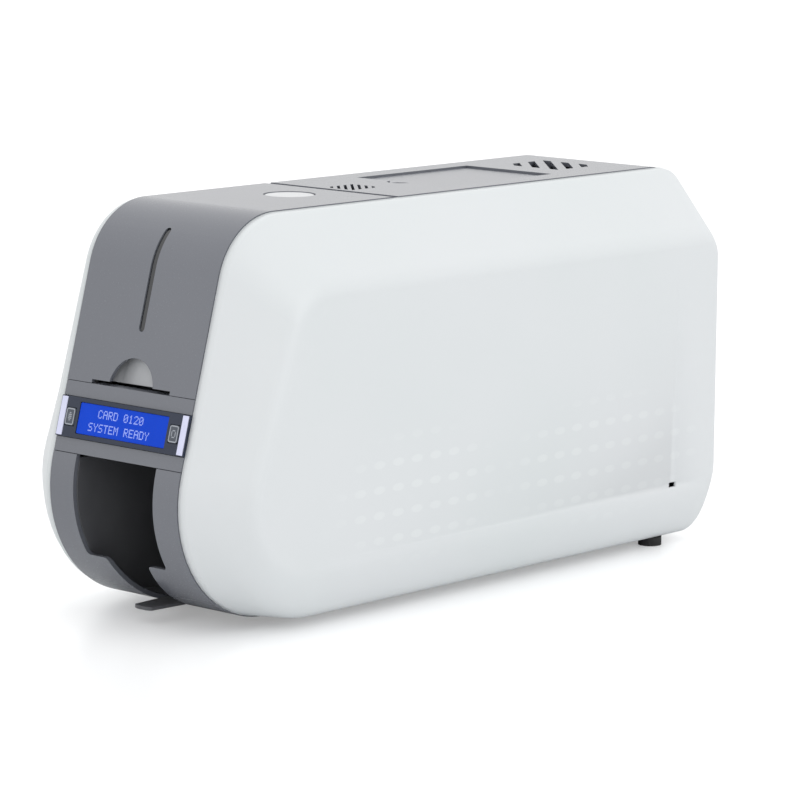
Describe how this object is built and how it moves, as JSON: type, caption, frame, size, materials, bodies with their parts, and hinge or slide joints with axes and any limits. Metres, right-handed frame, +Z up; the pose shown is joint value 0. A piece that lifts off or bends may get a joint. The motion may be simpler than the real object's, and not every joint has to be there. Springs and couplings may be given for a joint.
{
  "type": "id card printer",
  "caption": "Desktop card printer with a hinged front cover, front display and card pocket, lidded card bin, faceted side covers and a geared roller train inside.",
  "frame": {"origin": "centre of the footprint on the surface it stands on", "axes": "+Z up, +Y towards the rear along the length, -Y is the front with the display, +X its right side"},
  "size_m": [0.158, 0.404, 0.215],
  "materials": {
    "white_shell": "satin moulded",
    "grey_cover": "fine moulded texture",
    "dark_plastic": "moulded",
    "smoked_lens": "gloss",
    "slate_panel": "gloss",
    "lcd_blue": "gloss",
    "light_bar": "frosted",
    "button": "moulded",
    "pale_plastic": "moulded",
    "rubber_feet": "matte",
    "roller_rubber": "matte",
    "gear_plastic": "natural acetal",
    "sheet_steel": "zinc plated",
    "head_aluminium": "extruded",
    "board_green": "solder mask",
    "ribbon": "thin film"
  },
  "bodies": {
    "chassis": {"right_side_cover": "white_shell", "left_side_cover": "white_shell", "top_cover": "grey_cover", "display_frame": "grey_cover", "output_bezel": "grey_cover", "rear_panel": "grey_cover", "output_tray": "dark_plastic", "base_pan": "dark_plastic", "input_hopper": "dark_plastic", "ribbon_cassette_frame": "dark_plastic", "fan_frame": "dark_plastic", "power_switch_housing": "dark_plastic", "power_inlet": "dark_plastic", "display_panel": "slate_panel", "display_lcd": "lcd_blue", "light_bar_left": "light_bar", "light_bar_right": "light_bar", "card_guide": "pale_plastic", "feet": "rubber_feet", "chassis_plate_left": "sheet_steel", "chassis_plate_right": "sheet_steel", "cross_bars": "sheet_steel", "cover_hinge_pins": "sheet_steel", "idler_studs": "sheet_steel", "lid_hinge_pin": "sheet_steel", "case_screws": "sheet_steel", "board_standoffs": "sheet_steel", "usb_port": "sheet_steel", "ethernet_port": "sheet_steel", "drive_motor": "sheet_steel", "circuit_board": "board_green", "ribbon_film": "ribbon"},
    "front_cover": {"front_cover": "grey_cover", "status_light_guide": "smoked_lens", "print_head_bracket": "dark_plastic", "print_head": "head_aluminium"},
    "cover_release_button": {"cover_release_button": "pale_plastic"},
    "hopper_lid": {"hopper_lid": "grey_cover"},
    "button_left": {"button_left": "button"},
    "button_right": {"button_right": "button"},
    "power_rocker": {"power_rocker": "dark_plastic"},
    "card_weight": {"card_weight": "dark_plastic"},
    "fan_rotor": {"fan_rotor": "dark_plastic"},
    "ribbon_supply_spool": {"ribbon_supply_spool": "ribbon"},
    "ribbon_take_up_spool": {"ribbon_take_up_spool": "ribbon"},
    "motor_pinion": {"motor_pinion": "gear_plastic"},
    "exit_roller": {"exit_roller": "roller_rubber"},
    "platen_roller": {"platen_roller": "roller_rubber"},
    "feed_roller": {"feed_roller": "roller_rubber"},
    "entry_roller": {"entry_roller": "roller_rubber"},
    "pick_roller": {"pick_roller": "roller_rubber"},
    "idler_gear_1": {"idler_gear_1": "gear_plastic"},
    "idler_gear_2": {"idler_gear_2": "gear_plastic"},
    "idler_gear_3": {"idler_gear_3": "gear_plastic"},
    "idler_gear_4": {"idler_gear_4": "gear_plastic"},
    "exit_pinch_roller": {"exit_pinch_roller": "roller_rubber"},
    "feed_pinch_roller": {"feed_pinch_roller": "roller_rubber"}
  },
  "joints": [
    {"name": "front_cover_hinge", "type": "hinge", "parent": "chassis", "child": "front_cover", "pos_m": [0, -0.04306, 0.207], "axis": [-1, 0, 0], "range_deg": [0, 55]},
    {"name": "release_press", "type": "slide", "parent": "front_cover", "child": "cover_release_button", "axis": [0, 0, -1], "range_m": [0, 0.0015], "stiffness_N_per_m": 200, "springref_m": -0.002},
    {"name": "hopper_lid_hinge", "type": "hinge", "parent": "chassis", "child": "hopper_lid", "pos_m": [0, 0.103, 0.2109], "axis": [-1, 0, 0], "range_deg": [0, 90]},
    {"name": "button_left_press", "type": "slide", "parent": "chassis", "child": "button_left", "axis": [0, 0.9643, -0.2647], "range_m": [0, 0.0008], "stiffness_N_per_m": 300, "springref_m": -0.001},
    {"name": "button_right_press", "type": "slide", "parent": "chassis", "child": "button_right", "axis": [0, 0.9643, -0.2647], "range_m": [0, 0.0008], "stiffness_N_per_m": 300, "springref_m": -0.001},
    {"name": "power_rocker_tilt", "type": "hinge", "parent": "chassis", "child": "power_rocker", "pos_m": [0.024, 0.1984, 0.062], "axis": [1, 0, 0], "range_deg": [0, 7.6]},
    {"name": "card_weight_slide", "type": "slide", "parent": "chassis", "child": "card_weight", "axis": [0, 0, 1], "range_m": [0, 0.07]},
    {"name": "fan_rotor_turn", "type": "hinge", "parent": "chassis", "child": "fan_rotor", "pos_m": [0, 0.143, 0.203], "axis": [0, 0, 1], "continuous": true},
    {"name": "ribbon_supply_spool_turn", "type": "hinge", "parent": "chassis", "child": "ribbon_supply_spool", "pos_m": [0, -0.066, 0.166], "axis": [1, 0, 0], "continuous": true},
    {"name": "ribbon_take_up_spool_turn", "type": "hinge", "parent": "chassis", "child": "ribbon_take_up_spool", "pos_m": [0, -0.158, 0.16], "axis": [1, 0, 0], "continuous": true},
    {"name": "motor_pinion_turn", "type": "hinge", "parent": "chassis", "child": "motor_pinion", "pos_m": [0, -0.01, 0.0926], "axis": [1, 0, 0], "continuous": true},
    {"name": "exit_roller_turn", "type": "hinge", "parent": "chassis", "child": "exit_roller", "pos_m": [0, -0.16, 0.1166], "axis": [1, 0, 0], "continuous": true},
    {"name": "platen_roller_turn", "type": "hinge", "parent": "chassis", "child": "platen_roller", "pos_m": [0, -0.1, 0.1166], "axis": [1, 0, 0], "continuous": true},
    {"name": "feed_roller_turn", "type": "hinge", "parent": "chassis", "child": "feed_roller", "pos_m": [0, -0.04, 0.1166], "axis": [1, 0, 0], "continuous": true},
    {"name": "entry_roller_turn", "type": "hinge", "parent": "chassis", "child": "entry_roller", "pos_m": [0, 0.02, 0.1166], "axis": [1, 0, 0], "continuous": true},
    {"name": "pick_roller_turn", "type": "hinge", "parent": "chassis", "child": "pick_roller", "pos_m": [0, 0.08, 0.1166], "axis": [1, 0, 0], "continuous": true},
    {"name": "idler_gear_1_turn", "type": "hinge", "parent": "chassis", "child": "idler_gear_1", "pos_m": [0, -0.13, 0.1166], "axis": [1, 0, 0], "continuous": true},
    {"name": "idler_gear_2_turn", "type": "hinge", "parent": "chassis", "child": "idler_gear_2", "pos_m": [0, -0.07, 0.1166], "axis": [1, 0, 0], "continuous": true},
    {"name": "idler_gear_3_turn", "type": "hinge", "parent": "chassis", "child": "idler_gear_3", "pos_m": [0, -0.01, 0.1166], "axis": [1, 0, 0], "continuous": true},
    {"name": "idler_gear_4_turn", "type": "hinge", "parent": "chassis", "child": "idler_gear_4", "pos_m": [0, 0.05, 0.1166], "axis": [1, 0, 0], "continuous": true},
    {"name": "exit_pinch_roller_turn", "type": "hinge", "parent": "chassis", "child": "exit_pinch_roller", "pos_m": [0, -0.16, 0.13], "axis": [1, 0, 0], "continuous": true},
    {"name": "feed_pinch_roller_turn", "type": "hinge", "parent": "chassis", "child": "feed_pinch_roller", "pos_m": [0, -0.04, 0.13], "axis": [1, 0, 0], "continuous": true}
  ],
  "couplings": [
    {"joint": "exit_roller_turn", "follows": "platen_roller_turn", "ratio": 1},
    {"joint": "feed_roller_turn", "follows": "platen_roller_turn", "ratio": 1},
    {"joint": "entry_roller_turn", "follows": "platen_roller_turn", "ratio": 1},
    {"joint": "pick_roller_turn", "follows": "platen_roller_turn", "ratio": 1},
    {"joint": "idler_gear_1_turn", "follows": "platen_roller_turn", "ratio": -0.66667},
    {"joint": "idler_gear_2_turn", "follows": "platen_roller_turn", "ratio": -0.66667},
    {"joint": "idler_gear_3_turn", "follows": "platen_roller_turn", "ratio": -0.66667},
    {"joint": "idler_gear_4_turn", "follows": "platen_roller_turn", "ratio": -0.66667},
    {"joint": "motor_pinion_turn", "follows": "platen_roller_turn", "ratio": 2},
    {"joint": "exit_pinch_roller_turn", "follows": "platen_roller_turn", "ratio": -1.6},
    {"joint": "feed_pinch_roller_turn", "follows": "platen_roller_turn", "ratio": -1.6}
  ]
}
